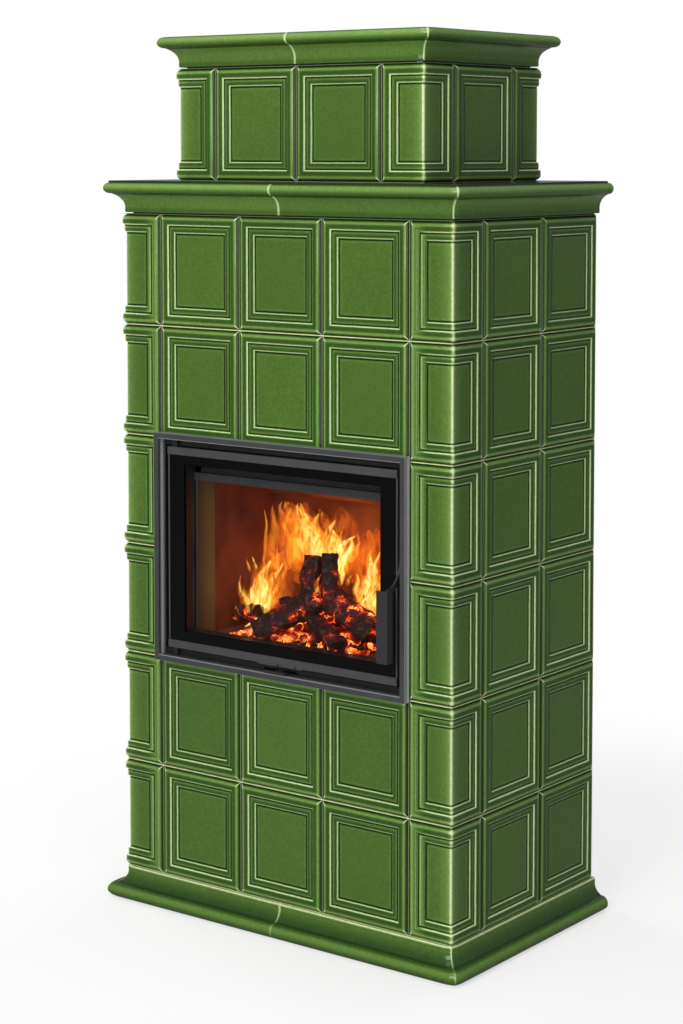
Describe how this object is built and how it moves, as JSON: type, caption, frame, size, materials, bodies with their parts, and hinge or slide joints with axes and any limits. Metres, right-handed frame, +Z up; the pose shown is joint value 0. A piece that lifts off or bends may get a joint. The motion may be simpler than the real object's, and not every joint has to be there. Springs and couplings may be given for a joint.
{
  "type": "tiled stove",
  "caption": "Green glazed tiled stove with moulded plinth and cornices, a set-back upper tier, and a steel firebox behind a hinged glass door.",
  "frame": {"origin": "on the floor, under the middle of the box that bounds the whole stove with its door closed", "axes": "+Z up, -Y out of the front towards the person at the door, +X to that person's right"},
  "size_m": [0.948, 0.605, 1.906],
  "materials": {
    "green_glaze": "glossy green glaze, pale on the arrises and dark where it pools",
    "mortar": "grey-green joint mortar, matt",
    "dark_glaze": "near-black green glaze, glossy",
    "frame_steel": "satin grey lacquered steel",
    "dark_steel": "matt black heat-proof paint",
    "handle_steel": "satin anthracite lacquered steel",
    "bright_steel": "plain zinc-plated steel",
    "heat_steel": "steel discoloured by heat",
    "glass": "clear glass ceramic with a black printed border",
    "rope": "black glass-fibre rope",
    "fireclay": "matt fireclay",
    "cast_iron": "rough cast iron",
    "wood": "charred firewood",
    "board": "pale calcium silicate board",
    "wool": "pressed mineral wool"
  },
  "bodies": {
    "stove": {"plinth_front_left": "green_glaze", "plinth_front_right": "green_glaze", "plinth_side_left": "green_glaze", "plinth_side_right": "green_glaze", "front_tiles_low": "green_glaze", "front_tiles_high": "green_glaze", "corner_tiles_left": "green_glaze", "corner_tiles_right": "green_glaze", "side_tiles_left": "green_glaze", "side_tiles_right": "green_glaze", "tile_mortar": "mortar", "cornice_front_left": "green_glaze", "cornice_front_right": "green_glaze", "cornice_side_left": "green_glaze", "cornice_side_right": "green_glaze", "shoulder_slabs": "dark_glaze", "upper_face_tiles": "green_glaze", "upper_side_tiles": "green_glaze", "upper_corner_tiles": "green_glaze", "crown_front_left": "green_glaze", "crown_front_right": "green_glaze", "crown_side_left": "green_glaze", "crown_side_right": "green_glaze", "crown_rear": "green_glaze", "crown_slabs": "dark_glaze", "facing_frame": "frame_steel", "door_surround": "dark_steel", "front_sill": "dark_steel", "surround_screws": "bright_steel", "hinge_pins": "dark_steel", "latch_pin": "bright_steel", "firebox_front": "dark_steel", "door_seal": "rope", "firebox_shell": "dark_steel", "fireclay_sides": "fireclay", "fireclay_back": "fireclay", "fireclay_floor": "fireclay", "firebox_cheeks": "heat_steel", "air_deflector": "heat_steel", "air_guide": "dark_steel", "ash_chamber": "dark_steel", "ash_pan": "dark_steel", "flue_duct": "dark_steel", "rear_panel": "board", "rear_insulation": "wool", "support_frame": "dark_steel"},
    "door": {"door_rails": "frame_steel", "door_frame": "dark_steel", "door_glass": "glass", "glass_seal": "rope", "door_trims": "frame_steel", "rail_screws": "bright_steel", "handle_pin": "bright_steel"},
    "handle": {"door_handle": "handle_steel"},
    "roller": {"latch_roller": "bright_steel"},
    "air_slide": {"air_lever": "frame_steel", "air_plate": "dark_steel"},
    "grate": {"cast_grate": "cast_iron", "firewood": "wood"},
    "baffle": {"baffle_plate": "fireclay"}
  },
  "joints": [
    {"name": "door_hinge", "type": "hinge", "parent": "stove", "child": "door", "pos_m": [-0.286, -0.251, 0.7985], "axis": [0, 0, -1], "range_deg": [0, 105]},
    {"name": "handle_pivot", "type": "hinge", "parent": "door", "child": "handle", "pos_m": [0.313, -0.2375, 0.816], "axis": [-1, 0, 0], "range_deg": [0, 20]},
    {"name": "roller_spin", "type": "hinge", "parent": "stove", "child": "roller", "pos_m": [0.313, -0.2285, 0.8283], "axis": [1, 0, 0], "continuous": true},
    {"name": "air_slide", "type": "slide", "parent": "stove", "child": "air_slide", "axis": [1, 0, 0], "range_m": [-0.035, 0.035]},
    {"name": "grate_lift", "type": "slide", "parent": "stove", "child": "grate", "axis": [0, 0, 1], "range_m": [0, 0.06]},
    {"name": "baffle_lift", "type": "slide", "parent": "stove", "child": "baffle", "axis": [0, 0, 1], "range_m": [0, 0.02]}
  ]
}
